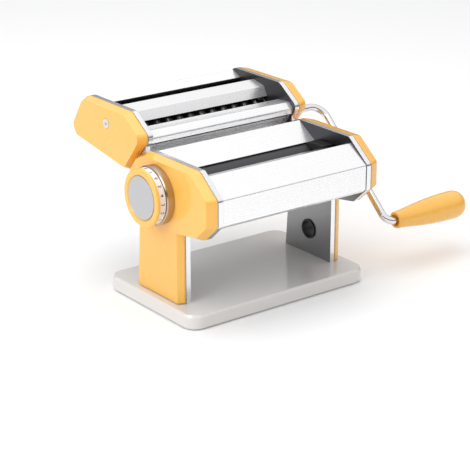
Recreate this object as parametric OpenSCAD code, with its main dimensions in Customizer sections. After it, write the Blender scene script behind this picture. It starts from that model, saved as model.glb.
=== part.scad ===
// Hand-cranked pasta roller with a removable cutter unit.
// X runs along the rollers towards the crank, Y to the rear, Z up.
// The origin is the centre of the base's footprint, on the table.

/* [Base] */
// Width of the base, along the rollers
base_w = 207; // [200:1:230]
// Depth of the base, front to rear
base_d = 137; // [130:1:150]
// Height of the base's top face above the table
base_h = 14.5; // [13:0.5:18]
// Radius of the base's corners in plan
base_corner = 14; // [8:1:20]
// Thickness of the non-slip sheet under the base
mat_t = 1.5; // [1:0.1:2]

/* [Side frames] */
// Distance between the inner faces of the two side plates
plate_gap = 165; // [165:1:165]
// Thickness of each side plate
plate_t = 5; // [5:0.5:6]
// Depth of each plastic cover, outwards from its side plate
cover_t = 10.5; // [10.5:0.5:11]
// Depth of the covers' legs
leg_t = 7.7; // [7:0.1:9]
// Wall of the plastic covers
cover_wall = 2; // [1.5:0.1:2]
// Width of the open seam between a side plate and its cover
seam = 0.6; // [0.3:0.1:0.7]
// Highest edge of the main body
body_top = 146.5; // [146.5:0.5:148]
// Radius of the clamp socket in the right leg
clamp_r = 8; // [6:0.5:8]

/* [Smooth rollers] */
// Length of all the rollers' working faces
roller_len = 150; // [140:1:150]
// Radius of the smooth rollers
roller_r = 16.35; // [16.2:0.05:16.4]
// Distance between the smooth rollers' axes at the thinnest setting
roller_pitch = 33; // [33:0.1:33.4]
// Tilt of the smooth pair, down towards the rear, in degrees
roller_tilt = 5; // [4:1:6]
// Radius of the smooth rollers' journals
journal_r = 7; // [6.5:0.1:7]
// Teeth on each smooth roller's gear
gear_teeth = 16; // [16:1:16]

/* [Thickness regulator] */
// Number of thickness settings on the dial
settings = 10; // [8:1:10]
// Turn of the knob from one setting to the next, in degrees
step_angle = 18; // [18:1:20]
// How far the rear roller moves from the first setting to the last
adjust_travel = 2.4; // [2:0.1:2.4]
// Outer radius of the knob
knob_r = 26.9; // [25:0.1:27]
// Outer radius of the fixed index collar under the knob
collar_r = 27.5; // [26:0.1:28]
// How far the knob pulls out
knob_travel = 3; // [2:0.5:3]

/* [Cutter unit] */
// Radius of the wide cutting rollers
wide_r = 12.5; // [12:0.1:12.5]
// Width of one wide noodle
wide_strip = 6.5; // [6:0.5:7]
// Radius of the narrow cutting rollers
narrow_r = 9.5; // [9:0.1:9.5]
// Width of one narrow noodle
narrow_strip = 2; // [2:0.1:2.2]
// How deep the discs of a pair reach into each other's grooves
disc_overlap = 1; // [0.5:0.1:1]

/* [Crank] */
// Radius of the crank's steel rod
rod_r = 3.75; // [3.5:0.05:3.75]
// Length of the crank's arm, between the socket's axis and the grip's
arm_len = 139.4; // [120:0.1:150]
// Radius of the bend at the socket's end of the arm
bend_r = 15; // [12:1:16]
// Radius of the bend at the grip's end of the arm
foot_bend_r = 10; // [8:1:10]
// Length of the grip
grip_len = 89; // [84:1:92]
// Largest radius of the grip
grip_r = 14.2; // [12:0.1:14.5]

/* [Hidden] */
$fn = 64;

// Small sizes that the whole model shares
sheet_t = 0.8;
run = 0.05;
loose = 0.3;
cut = 1;
steel = [0.78, 0.79, 0.80];
chrome = [0.88, 0.89, 0.91];
yellow = [0.98, 0.76, 0.30];
dark = [0.16, 0.15, 0.15];
nylon = [0.90, 0.89, 0.85];

// Stations along X, the same on both sides
plate_in = plate_gap / 2;
plate_out = plate_in + plate_t;
cover_in = plate_out + seam;
cover_out = plate_out + cover_t;
cover_room = cover_out - cover_wall;
leg_out = plate_out + leg_t;
half_sheet = plate_in - 0.05;
half_roller = roller_len / 2;
guide_lip_x = half_roller - 4.5;

// Outlines in the side view, as [Y, Z], running anticlockwise
body_rim = [
    [12.5, body_top], [-61.5, body_top], [-87.5, 126], [-87.5, 101.5], [-70, 85.5],
    [-38.5, 80.5], [24, 76.5], [38, 100], [38, 125], [26.5, 140.3]
];
body_bevel = [1.8, 2.6, 3.7, 3.2, 3.7, 3.5, 3.5, 3.5, 3.5, 3];
leg_gap = 0.8;
leg_rim = [[24, 90], [-38.5, 90], [-38.5, base_h], [29.5, base_h]];
leg_cover_rim = [[24, 90], [-38.5, 90], [-38.5, base_h + leg_gap], [29.4, base_h + leg_gap]];
leg_bevel = [0, 3.2, 0.01, 2];
cutter_rim = [
    [116, 176.5], [42, 176.5], [16.2, 158.8], [18.5, 151.5], [43.4, 120.8], [128.5, 134], [136.5, 145.5]
];
cutter_bevel = [1.9, 1.5, 3, 2.4, 4.1, 5.5, 4.5];
// Shallow relief where the cutter unit passes the main body
cutter_relief = [[18.5, 151.5], [10, 120], [43.4, 120.8], [28, 142.3]];
rim_soft = [4, 5, 5, 4, 4, 4, 4, 4, 4, 4];
cutter_soft = [9, 8, 6.5, 3, 5, 7, 7];

// Roller axes in the side view
tilt_way = [cos(roller_tilt), -sin(roller_tilt)];
rear_axis = [-10, 113.7];
front_axis = rear_axis - roller_pitch * tilt_way;
cutter_tilt = 9;
cutter_way = [cos(cutter_tilt), sin(cutter_tilt)];
wide_pitch = 2 * wide_r - disc_overlap;
narrow_pitch = 2 * narrow_r - 0.8 * disc_overlap;
wide_front = [45.7, 143.3];
wide_rear = wide_front + wide_pitch * cutter_way;
narrow_front = wide_rear + (wide_r + narrow_r + 0.8) * cutter_way;
narrow_rear = narrow_front + narrow_pitch * cutter_way;
wide_core = wide_r - 3.5;
narrow_core = narrow_r - 2.5;
wide_journal = 6.5;
narrow_journal = 6;

// Places of the fasteners in the side view
rod_spots = [[-71, 103], [-60.5, 95.5], [26.5, 112], [14, 86.5]];
scraper_rod = rod_spots[1];
cover_spots = [[-76, 114], [27, 97]];
cutter_rod_spots = [[30, 152.5], [123, 146], [80, 163.5]];
cutter_screw_left = [71.4, 160.4];
cutter_screw_right = [88, 166];
base_spots = [-30, 20];
clamp_spot = [-5.9, 40.1];
tongue_y = 22.4;
tongue_z = 125.5;
tongue_w = 8;
tie_r = 4;
thread_r = 2.5;
cutter_thread_r = 1.5;
screw_r = 1.6;

// Regulator stations along X, on the left side
collar_face = cover_out + 8;
dial_in = collar_face + 0.6;
dial_out = dial_in + 6.4;
knob_face = dial_out + 3;
cam_in = plate_out + 3;
cam_out = cover_room - 0.5;
cam_r = 18;
cam_pin_at = 11;
shaft_r = 4;
shaft_end = dial_out;
spring_seat = dial_in + 1.6;
spring_room = 6.5;
index_ring_r = 18;
full_turn = step_angle * (settings - 1);
pin_r = 1.5;

gear_x = plate_out + 2;
gear_w = 4.5;
main_gear_bore = journal_r + 0.02;
cutter_gear_x = plate_out + 1.1;
cutter_gear_w = 3;
cutter_gear_end = cutter_gear_x + cutter_gear_w + 0.3;
wide_teeth = 24;
narrow_teeth = 18;

// Carriage, in its own frame: U along the slide, W square to it
carrier_u = 13;
carrier_w = 11;
bar_spot = [10, -21];
bar_r = 3;
bar_axis = rear_axis + [cos(roller_tilt) * bar_spot[0] + sin(roller_tilt) * bar_spot[1],
                        cos(roller_tilt) * bar_spot[1] - sin(roller_tilt) * bar_spot[0]];

// Crank stations
socket_r = rod_r + run;
socket_mouth = cover_out + 0.1;
socket_depth = 24;
slot_w = 3.4;
slot_depth = 4.5;
drive_pin_x = socket_mouth - slot_depth / 2 + 0.2;
arm_x = 138.2;
arm_swing = -137.2;
grip_axis = wide_front + arm_len * [cos(arm_swing), sin(arm_swing)];
rod_end = 222;
grip_x = 149;

// ---- Geometry helpers ----

// Unit normal on the right-hand side of the way from p to q
function right_of(p, q) = [q[1] - p[1], p[0] - q[0]] / norm(q - p);

// A closed outline with each edge moved inwards by its own distance
function inset(pts, d) =
    let (n = len(pts))
    [for (i = [0:n - 1])
        let (
            j = (i + n - 1) % n,
            m = right_of(pts[j], pts[i]),
            k = right_of(pts[i], pts[(i + 1) % n]),
            det = m[0] * k[1] - m[1] * k[0]
        )
        pts[i] + [d[i] * m[1] - d[j] * k[1], d[j] * k[0] - d[i] * m[0]] / det];

// One rounded corner at p, between a and b
function corner(a, p, b, r, n) =
    let (
        u = (a - p) / norm(a - p),
        v = (b - p) / norm(b - p),
        half = acos(u * v) / 2,
        c = p + (u + v) / norm(u + v) * r / sin(half),
        s = p + u * r / tan(half) - c,
        turn = sign(cross(v, u)) * (180 - 2 * half)
    )
    [for (i = [0:n])
        let (t = turn * i / n)
        c + [s[0] * cos(t) - s[1] * sin(t), s[0] * sin(t) + s[1] * cos(t)]];

// A closed outline with its corners rounded, by one radius or by a list of them
function rounded(pts, r, n = 4) =
    let (m = len(pts), each_r = is_list(r) ? r : [for (p = pts) r])
    [for (i = [0:m - 1]) each corner(pts[(i + m - 1) % m], pts[i], pts[(i + 1) % m], each_r[i], n)];

// An open path with its inner corners rounded, by one radius or by a list of them
function soft_path(pts, r, n = 4) =
    let (m = len(pts), each_r = is_list(r) ? r : [for (p = pts) r])
    concat([pts[0]], [for (i = [1:m - 2]) each corner(pts[i - 1], pts[i], pts[i + 1], each_r[i - 1], n)],
           [pts[m - 1]]);

// A strip of thickness t on the right-hand side of an open path
function ribbon(path, t) =
    let (n = len(path))
    concat(path, [for (i = [n - 1:-1:0])
        let (
            m = right_of(path[max(i - 1, 0)], path[max(i, 1)]),
            k = right_of(path[min(i, n - 2)], path[min(i + 1, n - 1)])
        )
        path[i] + (m + k) / (1 + m * k) * t]);

// Points along a cubic curve
function bezier(a, b, c, d, n) =
    [for (i = [0:n])
        let (t = i / n, u = 1 - t)
        u * u * u * a + 3 * u * u * t * b + 3 * u * t * t * c + t * t * t * d];

// Involute gear outline, with a tooth centred on the first axis when turned by 0
function gear_outline(teeth, pitch_r, tip, root, slack) =
    let (
        base_r = pitch_r * cos(20),
        half = 90 / teeth - slack / pitch_r * 28.65 + tan(20) * 57.3 - 20,
        radii = [root, base_r, for (i = [1:4]) base_r + (tip - base_r) * i / 4],
        swing = [for (r = radii) let (a = acos(min(1, base_r / r))) half - tan(a) * 57.3 + a]
    )
    [for (k = [0:teeth - 1]) each concat(
        [for (i = [0:5]) radii[i] * [cos(360 * k / teeth - swing[i]), sin(360 * k / teeth - swing[i])]],
        [for (i = [5:-1:0]) radii[i] * [cos(360 * k / teeth + swing[i]), sin(360 * k / teeth + swing[i])]]
    )];

// Extrudes a side outline along X, from x over w
module slab(x, w) {
    translate([x, 0, 0])
        rotate([90, 0, 90])
            linear_extrude(w)
                children();
}

// A round bar along X at the side-view point p, from x over w
module bar(p, x, w, r) {
    translate([x, p[0], p[1]])
        rotate([0, 90, 0])
            cylinder(h = w, r = r);
}

// Revolves a [radius, X] profile about the axis through p
module turned(p) {
    translate([0, p[0], p[1]])
        rotate([90, 0, 90])
            rotate_extrude()
                children();
}

// The same shape on the right and, mirrored, on the left
module both_sides() {
    children();
    mirror([1, 0, 0])
        children();
}

// ---- Base ----

module base_slab(z, h, in) {
    for (sx = [-1, 1])
        for (sy = [-1, 1])
            translate([sx * (base_w / 2 - base_corner), sy * (base_d / 2 - base_corner), z])
                cylinder(h = h, r = base_corner - in, $fn = 32);
}

module mat_shape(h, grow) {
    mat_w = base_w - 20 + 2 * grow;
    mat_d = base_d - 20 + 2 * grow;
    linear_extrude(h)
        polygon(rounded([[-mat_w, -mat_d] / 2, [mat_w, -mat_d] / 2, [mat_w, mat_d] / 2, [-mat_w, mat_d] / 2], 8));
}

module at_base_screws() {
    for (sx = [-1, 1])
        for (y = base_spots)
            translate([sx * (plate_in + plate_t / 2), y, 0])
                children();
}

module base_plate() {
    lift = 0.7;
    color([0.88, 0.87, 0.85])
        difference() {
            hull() {
                base_slab(lift, 1, 1.2);
                base_slab(lift + 1.8, base_h - lift - 4, 0);
                base_slab(base_h - 1, 1, 1.6);
            }
            translate([0, 0, -cut])
                mat_shape(mat_t + cut + 0.05, 0.2);
            at_base_screws() {
                translate([0, 0, -cut])
                    cylinder(h = base_h + 2 * cut, r = screw_r + 0.1);
                translate([0, 0, -cut])
                    cylinder(h = 5 + cut, r = 4);
            }
        }
}

module non_slip_mat() {
    color(dark)
        difference() {
            mat_shape(mat_t, 0);
            at_base_screws()
                translate([0, 0, -cut])
                    cylinder(h = mat_t + 2 * cut, r = 4.5);
        }
}

module base_screws() {
    color(steel)
        at_base_screws() {
            translate([0, 0, 2.6])
                cylinder(h = 2.35, r = 3.5);
            translate([0, 0, 4.9])
                cylinder(h = base_h + 2.6, r = screw_r);
        }
}

// ---- Side frames ----

// Window in which a carrier slides, widened by the roller's travel
module carrier_window(grow) {
    translate(rear_axis)
        rotate(-roller_tilt)
            translate([-carrier_u - grow, -carrier_w - grow])
                square([2 * carrier_u + adjust_travel + 3 * grow, 2 * (carrier_w + grow)]);
}

module side_plate() {
    difference() {
        slab(plate_in, plate_t)
            union() {
                polygon(rounded(body_rim, rim_soft));
                polygon(leg_rim);
            }
        bar(front_axis, plate_in - cut, plate_t + 2 * cut, journal_r + 2 + run);
        slab(plate_in - cut, plate_t + 2 * cut)
            carrier_window(0.1);
        for (p = rod_spots)
            bar(p, plate_in - cut, plate_t + 2 * cut, thread_r + run);
        for (p = cover_spots)
            bar(p, plate_in - cut, plate_t + 2 * cut, screw_r + run);
        for (y = base_spots)
            translate([plate_in + plate_t / 2, y, base_h - cut])
                cylinder(h = 8 + cut, r = screw_r + run);
        // Open-topped slot for the cutter unit's tongue
        translate([plate_in - cut, tongue_y - loose, tongue_z - 2])
            cube([plate_t + 2 * cut, tongue_w + 2 * loose, 30]);
    }
}

module right_side_plate() {
    color(steel)
        difference() {
            side_plate();
            bar(clamp_spot, plate_in - cut, plate_t + 2 * cut, clamp_r + 1.2 + run);
        }
}

module left_side_plate() {
    color(steel)
        mirror([1, 0, 0])
            side_plate();
}

// A solid that slopes in from its rim outline to its outer face, at x = out
module bevelled(rim, bevel, soft, out) {
    hull() {
        slab(cover_in, 1.6)
            polygon(rounded(rim, soft));
        slab(out - 0.2, 0.2)
            polygon(rounded(inset(rim, bevel), soft));
    }
}

module cover_cavity(rim, bevel, out) {
    slab(cover_in - cut, out - cover_wall - cover_in + cut)
        polygon(inset(rim, [for (b = bevel) b + cover_wall]));
}

module cover() {
    difference() {
        union() {
            difference() {
                union() {
                    bevelled(body_rim, body_bevel, rim_soft, cover_out);
                    bevelled(leg_cover_rim, leg_bevel, 0.5, leg_out);
                }
                cover_cavity(body_rim, body_bevel, cover_out);
                cover_cavity(leg_cover_rim, leg_bevel, leg_out);
            }
            for (p = cover_spots)
                bar(p, cover_in, cover_room - cover_in + 0.5, 4.5);
        }
        for (p = cover_spots)
            bar(p, cover_in - cut, 5 + cut, screw_r + run);
    }
}

module right_cover() {
    color(yellow)
        difference() {
            union() {
                cover();
                bar(clamp_spot, cover_in, leg_out - cover_wall - cover_in + 0.5, clamp_r + 4);
            }
            bar(front_axis, cover_room - cut, cover_wall + 2 * cut, journal_r + 0.5);
            bar(clamp_spot, cover_in - cut, cover_t + 2 * cut, clamp_r + 1.2 + run);
        }
}

module left_cover() {
    color(yellow)
        mirror([1, 0, 0])
            difference() {
                cover();
                bar(rear_axis, cover_room - cut, cover_wall + 2 * cut, 9);
            }
}

module front_cover_sheet() {
    path = [[-59.5, 136], [-63.2, 142], [-86.8, 125.4], [-86.8, 101.6], [-83.4, 98.5]];
    color(chrome)
        slab(-half_sheet, 2 * half_sheet)
            polygon(ribbon(soft_path(path, 2), -sheet_t));
}

module rear_cover_sheet() {
    path = [[-12.7, 131.4], [10.6, 146.3], [25.9, 139.4], [37.2, 124.6], [37.2, 100.3], [27.6, 79.8],
            [22.5, 79.8]];
    color(chrome)
        slab(-half_sheet, 2 * half_sheet)
            polygon(ribbon(soft_path(path, 1.5), sheet_t));
}

module rods(spots, r, thread, nut_room) {
    for (p = spots) {
        bar(p, -plate_in, 2 * plate_in, r);
        bar(p, -plate_out - nut_room, 2 * (plate_out + nut_room), thread);
    }
}

module nuts(spots, thread, r) {
    both_sides()
        for (p = spots)
            difference() {
                translate([plate_out, p[0], p[1]])
                    rotate([0, 90, 0])
                        cylinder(h = 3, r = r, $fn = 6);
                bar(p, plate_out - cut, 6, thread + run);
            }
}

module tie_rods() {
    color(steel)
        rods(rod_spots, tie_r, thread_r, 4);
}

module tie_rod_nuts() {
    color(steel)
        nuts(rod_spots, thread_r, 4.6);
}

module cover_screws() {
    color(steel)
        both_sides()
            for (p = cover_spots) {
                bar(p, plate_in - 2, 2, 3.6);
                bar(p, plate_in - 0.1, plate_t + 5, screw_r);
            }
}

module front_roller_bushes() {
    color(nylon)
        both_sides()
            difference() {
                union() {
                    bar(front_axis, plate_in, plate_t, journal_r + 2);
                    bar(front_axis, plate_out, 1.2, journal_r + 3.5);
                }
                bar(front_axis, plate_in - cut, plate_t + 3, journal_r + run);
            }
}

// A blade whose foot is a clip around a rod; the path runs from the clip to the edge
module scraper(clip, rod, path) {
    difference() {
        union() {
            slab(-half_roller, roller_len)
                polygon(ribbon(path, 1));
            bar(clip, -half_roller, roller_len, rod + 1.3);
        }
        bar(clip, -half_roller - cut, roller_len + 2 * cut, rod + run);
    }
}

module front_scraper() {
    color(steel)
        scraper(scraper_rod, tie_r, [scraper_rod + [2.35, 4.07], front_axis + [-1.65, -17.2]]);
}

// Black guide between the rollers' ends and the side plate, with a lip over the nip
module dough_guide() {
    outline = [[-37.5, 131.2], [-37.5, 112], [-32, 104], [-20, 104], [-14, 120], [-14, 131.2]];
    lip = [[-39, 133.8], [-39, 127.2], [-14, 127.2], [-14, 131.2], [-20, 133.8]];
    wall_x = half_roller + loose;
    difference() {
        union() {
            slab(wall_x, 3.2)
                polygon(outline);
            slab(guide_lip_x, plate_in - guide_lip_x - 0.1)
                polygon(lip);
        }
        bar(front_axis, wall_x - cut, 20, journal_r + 1.5);
        bar(rear_axis + tilt_way, wall_x - cut, 20, journal_r + 3);
        for (p = [front_axis, rear_axis])
            bar(p, guide_lip_x - cut, wall_x - guide_lip_x + cut, roller_r + 0.4);
    }
}

module right_dough_guide() {
    color(dark)
        dough_guide();
}

module left_dough_guide() {
    color(dark)
        mirror([1, 0, 0])
            dough_guide();
}

module clamp_bush() {
    color(dark)
        difference() {
            union() {
                bar(clamp_spot, plate_in - 1.2, 1.2, clamp_r + 1.8);
                bar(clamp_spot, plate_in, leg_out - plate_in, clamp_r + 1.2);
            }
            bar(clamp_spot, plate_in - 2 * cut, leg_t + plate_t + 4 * cut, clamp_r);
        }
}

// ---- Smooth rollers ----

// Blind drive socket with a cross slot in its mouth
module crank_socket(p, slot_angle) {
    bar(p, socket_mouth - socket_depth, socket_depth + cut, socket_r);
    translate([socket_mouth - slot_depth, p[0], p[1]])
        rotate([slot_angle, 0, 0])
            translate([0, -20, -slot_w / 2])
                cube([slot_depth + cut, 40, slot_w]);
}

module gear(p, x, w, teeth, pitch_r, bore_r, phase) {
    add = pitch_r / teeth * 2.1;
    translate([x, p[0], p[1]])
        rotate([phase, 0, 0])
            rotate([90, 0, 90])
                linear_extrude(w)
                    difference() {
                        polygon(gear_outline(teeth, pitch_r, pitch_r + add, pitch_r - 1.25 * add, 0.35));
                        circle(r = bore_r);
                    }
}

module front_roller() {
    color(chrome)
        difference() {
            union() {
                bar(front_axis, -half_roller, roller_len, roller_r);
                bar(front_axis, -plate_out - 1.2, plate_out + 1.2 + socket_mouth, journal_r);
            }
            crank_socket(front_axis, 45);
        }
}

module front_roller_gear() {
    color(steel)
        gear(front_axis, gear_x, gear_w, gear_teeth, roller_pitch / 2, main_gear_bore, -roller_tilt);
}

module rear_roller() {
    color(chrome) {
        bar(rear_axis, -half_roller, roller_len, roller_r);
        bar(rear_axis, -plate_out - 1.2, plate_out + 1.2 + gear_x + gear_w + 0.3, journal_r);
    }
}

module rear_roller_gear() {
    half_tooth = 180 / gear_teeth;
    color(steel)
        gear(rear_axis, gear_x, gear_w, gear_teeth, roller_pitch / 2, main_gear_bore,
             180 - roller_tilt + half_tooth);
}

// ---- Carriage of the rear roller ----

module carriage_frame() {
    translate([0, rear_axis[0], rear_axis[1]])
        rotate([-roller_tilt, 0, 0])
            children();
}

module carrier() {
    arm_x = half_roller + 3.8;
    arm_w = plate_in - 0.3 - arm_x;
    difference() {
        carriage_frame() {
            translate([plate_in - 0.3, -carrier_u, -carrier_w])
                cube([plate_t + 0.4, 2 * carrier_u, 2 * carrier_w]);
            translate([plate_out + 0.1, -carrier_u - 1, -carrier_w - 1.5])
                cube([1.3, 2 * carrier_u + 2, 2 * carrier_w + 3]);
            translate([arm_x, -10, -25.5])
                cube([arm_w, 25, 33.5]);
        }
        bar(rear_axis, arm_x - cut, 20, journal_r + run);
        bar(bar_axis, arm_x - cut, arm_w + 2 * cut, bar_r + 0.02);
    }
}

module right_carrier() {
    color(nylon)
        carrier();
}

module left_carrier() {
    color(nylon)
        difference() {
            mirror([1, 0, 0])
                carrier();
            bar(rear_axis + cam_pin_at * tilt_way, -plate_out - 2, 6, pin_r + 0.02);
        }
}

module carriage_bar() {
    color(steel)
        bar(bar_axis, -plate_in + 0.4, 2 * plate_in - 0.8, bar_r);
}

module rear_scraper() {
    color(steel)
        scraper(bar_axis, bar_r, [bar_axis + [-2.42, 2.4], rear_axis + [3.4, -17.1]]);
}

module cam_follower_pin() {
    color(steel)
        bar(rear_axis + cam_pin_at * tilt_way, -cam_in - 2, 6.5, pin_r);
}

// ---- Thickness regulator ----

// Half of the spiral groove's edge, at a distance off its middle line
function spiral_edge(off) =
    [for (a = [-12:6:full_turn + 12])
        let (r = cam_pin_at + off + adjust_travel * a / full_turn)
        r * [cos(-a - roller_tilt), sin(-a - roller_tilt)]];

module regulator_shaft() {
    groove = pin_r + 0.2;
    outer = spiral_edge(groove);
    inner = spiral_edge(-groove);
    color(steel)
        difference() {
            union() {
                bar(rear_axis, -cam_out, cam_out - cam_in, cam_r);
                bar(rear_axis, -shaft_end, shaft_end - cam_in, shaft_r);
            }
            translate([-cam_in - 2.3, rear_axis[0], rear_axis[1]])
                rotate([90, 0, 90])
                    linear_extrude(2.3 + cut)
                        polygon(concat(outer, [for (i = [len(inner) - 1:-1:0]) inner[i]]));
            bar(rear_axis, -shaft_end - cut, 8 + cut, pin_r + 0.02);
            // Flat that turns the shaft with the knob
            translate([-shaft_end - cut, rear_axis[0] + 3.2, rear_axis[1] - 5])
                cube([shaft_end - dial_in + cut, 5, 10]);
        }
}

module regulator_screw() {
    color(steel) {
        bar(rear_axis, -shaft_end - 1.3, 1.3, 6);
        bar(rear_axis, -shaft_end - 0.1, 7, pin_r);
    }
}

module index_collar() {
    color(chrome)
        difference() {
            union() {
                turned(rear_axis)
                    polygon([[0, -cover_out - 0.1], [collar_r, -cover_out - 0.1], [collar_r, 1 - collar_face],
                             [collar_r - 1, -collar_face], [0, -collar_face]]);
                bar(rear_axis, -cover_out - 0.2, cover_wall + 0.1, 8.9);
            }
            bar(rear_axis, -collar_face - cut, 20, shaft_r + run);
            for (i = [0:settings - 1])
                bar(rear_axis + index_ring_r * [cos(step_angle * i), -sin(step_angle * i)],
                    -collar_face - cut, 3 + cut, pin_r + 0.2);
        }
}

module knob_body() {
    hub_r = 22.8;
    recess = knob_face - 1.4;
    color(yellow)
        difference() {
            turned(rear_axis)
                polygon([[0, -dial_in], [hub_r, -dial_in], [hub_r, -dial_out], [knob_r, -dial_out],
                         [knob_r, 0.8 - knob_face], [knob_r - 0.8, -knob_face], [knob_r - 5.4, -knob_face],
                         [20.2, -recess], [0, -recess]]);
            bar(rear_axis, -recess - cut, recess + cut - spring_seat, spring_room);
            difference() {
                bar(rear_axis, -knob_face, 20, shaft_r + run);
                translate([-knob_face - cut, rear_axis[0] + 3.2 + run, rear_axis[1] - 5])
                    cube([20, 5, 10]);
            }
            bar(rear_axis + [index_ring_r, 0], -dial_out, 20, pin_r + 0.02);
        }
}

module knob_dial() {
    color([0.93, 0.93, 0.93])
        turned(rear_axis)
            polygon([[22.85, -dial_in], [26.1, -dial_in], [26.4, -dial_in - 0.3], [26.4, -dial_out + 0.05],
                     [22.85, -dial_out + 0.05]]);
}

module knob_cap() {
    color([0.80, 0.80, 0.81])
        bar(rear_axis, 0.3 - knob_face, 1.05, 20);
}

module knob_locating_pin() {
    color(steel)
        bar(rear_axis + [index_ring_r, 0], -dial_out + 0.1, dial_out - 0.1 - collar_face - 0.3, pin_r);
}

// Helical spring between the knob's inner shoulder and the shaft's end screw
module knob_spring() {
    coil_r = 5.2;
    wire = 0.35;
    turns = 3;
    steps = 16;
    x0 = -shaft_end + wire + run;
    rise = shaft_end - spring_seat - 2 * (wire + run);
    rings = turns * steps;
    pts = [for (i = [0:rings])
        for (k = [0:5])
            let (a = 360 * i / steps, r = coil_r + wire * cos(60 * k))
            [x0 + rise * i / rings + wire * sin(60 * k), rear_axis[0] + r * cos(a), rear_axis[1] + r * sin(a)]];
    side = [for (i = [0:rings - 1])
        for (k = [0:5])
            [6 * i + k, 6 * i + (k + 1) % 6, 6 * i + 6 + (k + 1) % 6, 6 * i + 6 + k]];
    color(steel)
        polyhedron(pts, concat(side, [[5, 4, 3, 2, 1, 0]], [[for (k = [0:5]) 6 * rings + k]]));
}

// ---- Cutter unit ----

module cutter_plate() {
    difference() {
        union() {
            slab(plate_in, plate_t)
                difference() {
                    polygon(rounded(cutter_rim, cutter_soft));
                    polygon(cutter_relief);
                }
            // Tongue that drops into the slot of the main side plate
            translate([plate_in, tongue_y, tongue_z])
                cube([plate_t, tongue_w, 28]);
        }
        for (p = [wide_front, wide_rear])
            bar(p, plate_in - cut, plate_t + 2 * cut, wide_journal + 2 + run);
        for (p = [narrow_front, narrow_rear])
            bar(p, plate_in - cut, plate_t + 2 * cut, narrow_journal + 2 + run);
        for (p = cutter_rod_spots)
            bar(p, plate_in - cut, plate_t + 2 * cut, cutter_thread_r + run);
    }
}

module cutter_right_plate() {
    color(steel)
        difference() {
            cutter_plate();
            bar(cutter_screw_right, plate_in - cut, plate_t + 2 * cut, screw_r + run);
        }
}

module cutter_left_plate() {
    color(steel)
        difference() {
            mirror([1, 0, 0])
                cutter_plate();
            bar(cutter_screw_left, -plate_out - cut, plate_t + 2 * cut, screw_r + run);
        }
}

module cutter_cover(screw) {
    difference() {
        union() {
            difference() {
                bevelled(cutter_rim, cutter_bevel, cutter_soft, cover_out);
                cover_cavity(cutter_rim, cutter_bevel, cover_out);
                bar(wide_front, plate_out, cutter_gear_x + cutter_gear_w + 0.4 - plate_out, wide_pitch / 2 + 1.6);
            }
            bar(screw, cover_in, cover_room - cover_in + 0.5, 4.6);
        }
        slab(plate_out, 2 * cover_t)
            polygon(cutter_relief);
        bar(screw, cover_in - cut, cover_t + 2 * cut, screw_r + run);
        bar(screw, cover_out - 1.2, 2, 4.7);
    }
}

module cutter_right_cover() {
    color(yellow)
        difference() {
            cutter_cover(cutter_screw_right);
            for (p = [wide_front, narrow_rear])
                bar(p, cover_room - cut, cover_wall + 2 * cut, wide_journal + 0.6);
        }
}

module cutter_left_cover() {
    color(yellow)
        mirror([1, 0, 0])
            cutter_cover(cutter_screw_left);
}

module cutter_screw(p) {
    difference() {
        union() {
            bar(p, cover_out - 1.15, 1.5, 4.5);
            bar(p, plate_in + 0.2, cover_out - 1.2 - plate_in, screw_r);
        }
        for (a = [0, 90])
            translate([cover_out - 0.6, p[0], p[1]])
                rotate([a, 0, 0])
                    translate([0, -2.2, -0.4])
                        cube([2, 4.4, 0.8]);
    }
}

module cutter_cover_screws() {
    color(steel) {
        cutter_screw(cutter_screw_right);
        mirror([1, 0, 0])
            cutter_screw(cutter_screw_left);
    }
}

// A folded sheet between the side plates, thickened to the left of its path
module cutter_sheet(path, r) {
    color(chrome)
        slab(-half_sheet, 2 * half_sheet)
            polygon(ribbon(soft_path(path, r), -sheet_t));
}

module cutter_nose_sheet() {
    cutter_sheet([[46, 157.9], [44.6, 159.2], [26.8, 160.6], [20.6, 155.2], [22, 149.6]], [1.2, 3, 2.4]);
}

module cutter_roof_sheet() {
    cutter_sheet([[84.5, 165.4], [83.1, 171.6], [65.6, 168.3], [60.8, 158.9]], [0.9, 0.9]);
}

module cutter_rear_sheet() {
    cutter_sheet([[127.4, 135.2], [135.2, 145.8], [116.4, 174.4], [103.6, 168.3], [105.6, 166]], [1.2, 1.2, 1.2]);
}

module cutter_lower_sheet() {
    cutter_sheet([[24.6, 147.6], [40.4, 126.2], [45.5, 124.5]], [1.5]);
}

module cutter_tie_rods() {
    color(steel)
        rods(cutter_rod_spots, 3, cutter_thread_r, 3.6);
}

module cutter_tie_rod_nuts() {
    color(steel)
        nuts(cutter_rod_spots, cutter_thread_r, 3.1);
}

module cutter_bushes() {
    color(nylon)
        both_sides()
            for (q = [[wide_front, wide_journal], [wide_rear, wide_journal],
                      [narrow_front, narrow_journal], [narrow_rear, narrow_journal]])
                difference() {
                    bar(q[0], plate_in, plate_t, q[1] + 2);
                    bar(q[0], plate_in - cut, plate_t + 2 * cut, q[1] + run);
                }
}

// Grooved roller: discs of one noodle's width, one noodle apart
module grooved(p, r, core, strip, phase) {
    pitch = 2 * strip;
    count = floor(roller_len / pitch);
    start = -count * pitch / 2 + phase * strip;
    disc = strip - 0.1;
    bar(p, -half_roller, roller_len, core);
    turned(p)
        for (i = [0:count - 1])
            translate([core - 1, start + i * pitch + 0.05])
                square([r - core + 1, disc]);
}

module wide_front_roller() {
    color(chrome)
        difference() {
            union() {
                grooved(wide_front, wide_r, wide_core, wide_strip, 0);
                bar(wide_front, -plate_out - 1, plate_out + 1 + socket_mouth, wide_journal);
            }
            crank_socket(wide_front, 0);
        }
}

module wide_rear_roller() {
    color(chrome) {
        grooved(wide_rear, wide_r, wide_core, wide_strip, 1);
        bar(wide_rear, -plate_out - 1, plate_out + 1 + cutter_gear_end, wide_journal);
    }
}

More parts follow.
